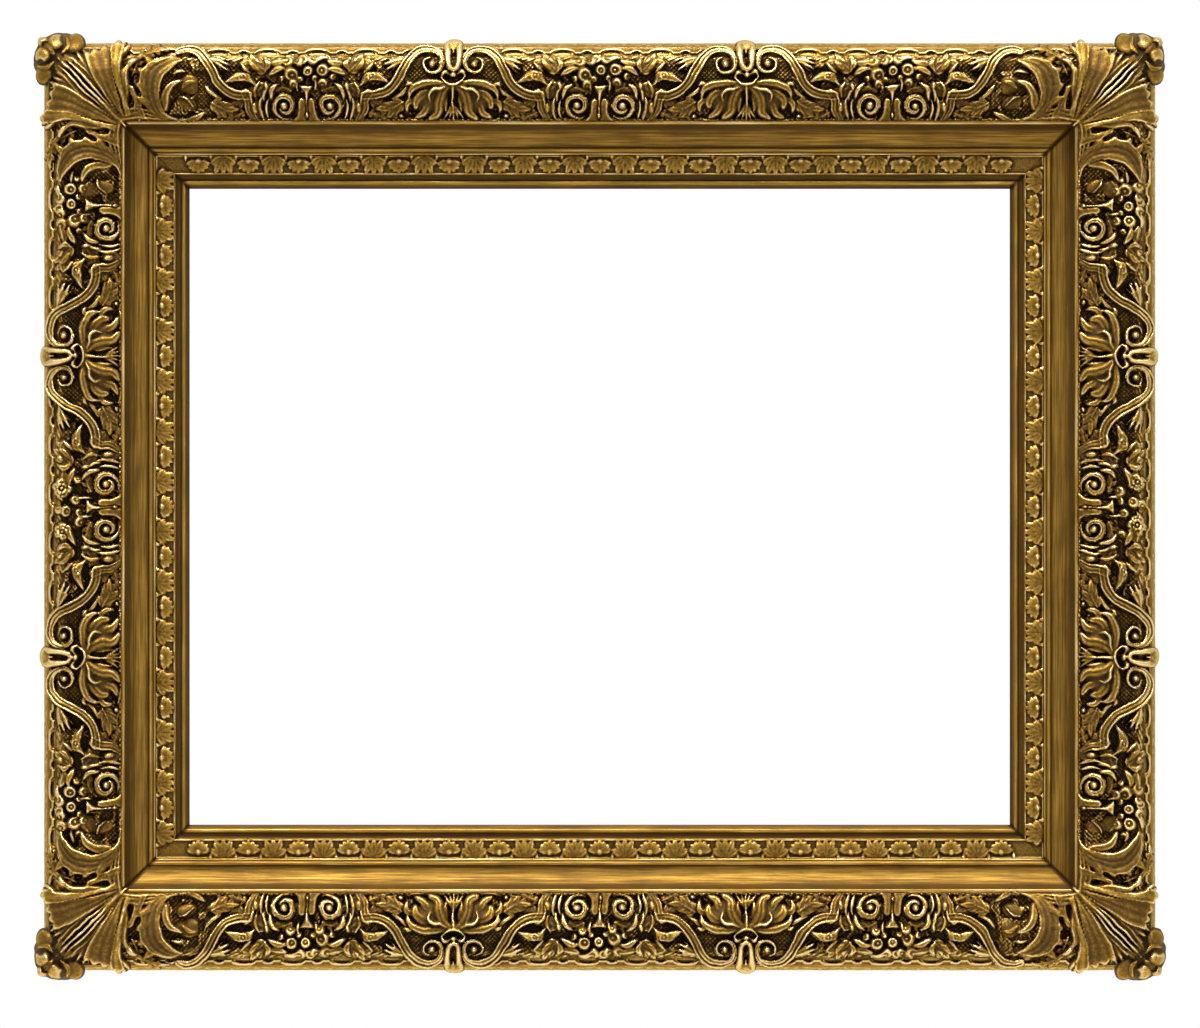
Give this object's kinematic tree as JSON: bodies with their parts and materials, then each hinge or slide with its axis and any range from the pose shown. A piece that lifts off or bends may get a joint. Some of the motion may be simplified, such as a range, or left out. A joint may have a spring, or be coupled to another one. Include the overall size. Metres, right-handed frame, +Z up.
{
  "type": "ornate gilded picture frame",
  "caption": "Rectangular gilded wooden picture frame with applied scrolls, leaves and flowers, a cove, a gilded inner slip, and turn buttons and a ring hanger on its back.",
  "frame": {"origin": "middle of the frame's back, in the plane of the wall", "axes": "+Y into the wall, so the face looks along -Y; +X along the frame's width; +Z up"},
  "size_m": [0.6212, 0.0584, 0.5212],
  "materials": {
    "gilded_wood": "satin",
    "gilded_slip": "satin",
    "gilded_composition": "satin",
    "raw_wood": "matte",
    "brass": "satin",
    "screw_steel": "satin"
  },
  "bodies": {
    "frame": {"bottom_rail": "gilded_wood", "bottom_slip": "gilded_slip", "bottom_leaf_band": "gilded_composition", "bottom_edge_strip": "gilded_composition", "bottom_brackets": "gilded_composition", "bottom_scrolls": "gilded_composition", "bottom_flowers": "gilded_composition", "bottom_clasps": "gilded_composition", "right_rail": "gilded_wood", "right_slip": "gilded_slip", "right_leaf_band": "gilded_composition", "right_edge_strip": "gilded_composition", "right_brackets": "gilded_composition", "right_scrolls": "gilded_composition", "right_flowers": "gilded_composition", "right_clasps": "gilded_composition", "top_rail": "gilded_wood", "top_slip": "gilded_slip", "top_leaf_band": "gilded_composition", "top_edge_strip": "gilded_composition", "top_brackets": "gilded_composition", "top_scrolls": "gilded_composition", "top_flowers": "gilded_composition", "top_clasps": "gilded_composition", "left_rail": "gilded_wood", "left_slip": "gilded_slip", "left_leaf_band": "gilded_composition", "left_edge_strip": "gilded_composition", "left_brackets": "gilded_composition", "left_scrolls": "gilded_composition", "left_flowers": "gilded_composition", "left_clasps": "gilded_composition", "turn_button_screws": "screw_steel", "bottom_left_leaf": "gilded_composition", "bottom_left_key": "raw_wood", "bottom_right_leaf": "gilded_composition", "bottom_right_key": "raw_wood", "top_right_leaf": "gilded_composition", "top_right_key": "raw_wood", "top_left_leaf": "gilded_composition", "top_left_key": "raw_wood", "hanger_strap": "brass", "hanger_screw": "screw_steel"},
    "bottom_turn_button": {"bottom_turn_button": "brass"},
    "right_turn_button": {"right_turn_button": "brass"},
    "top_turn_button": {"top_turn_button": "brass"},
    "left_turn_button": {"left_turn_button": "brass"},
    "hanger_ring": {"hanger_ring": "brass"}
  },
  "joints": [
    {"name": "bottom_button_turn", "type": "hinge", "parent": "frame", "child": "bottom_turn_button", "pos_m": [-0.01, -0.0032, -0.18875], "axis": [0, -1, 0], "range_deg": [0, 180]},
    {"name": "right_button_turn", "type": "hinge", "parent": "frame", "child": "right_turn_button", "pos_m": [0.23875, -0.0032, -0.01], "axis": [0, -1, 0], "range_deg": [0, 180]},
    {"name": "top_button_turn", "type": "hinge", "parent": "frame", "child": "top_turn_button", "pos_m": [0.01, -0.0032, 0.18875], "axis": [0, -1, 0], "range_deg": [0, 180]},
    {"name": "left_button_turn", "type": "hinge", "parent": "frame", "child": "left_turn_button", "pos_m": [-0.23875, -0.0032, 0.01], "axis": [0, -1, 0], "range_deg": [0, 180]},
    {"name": "hanger_ring_swing", "type": "hinge", "parent": "frame", "child": "hanger_ring", "pos_m": [0, 0.00268, 0.2243], "axis": [1, 0, 0], "range_deg": [0, 180]}
  ]
}
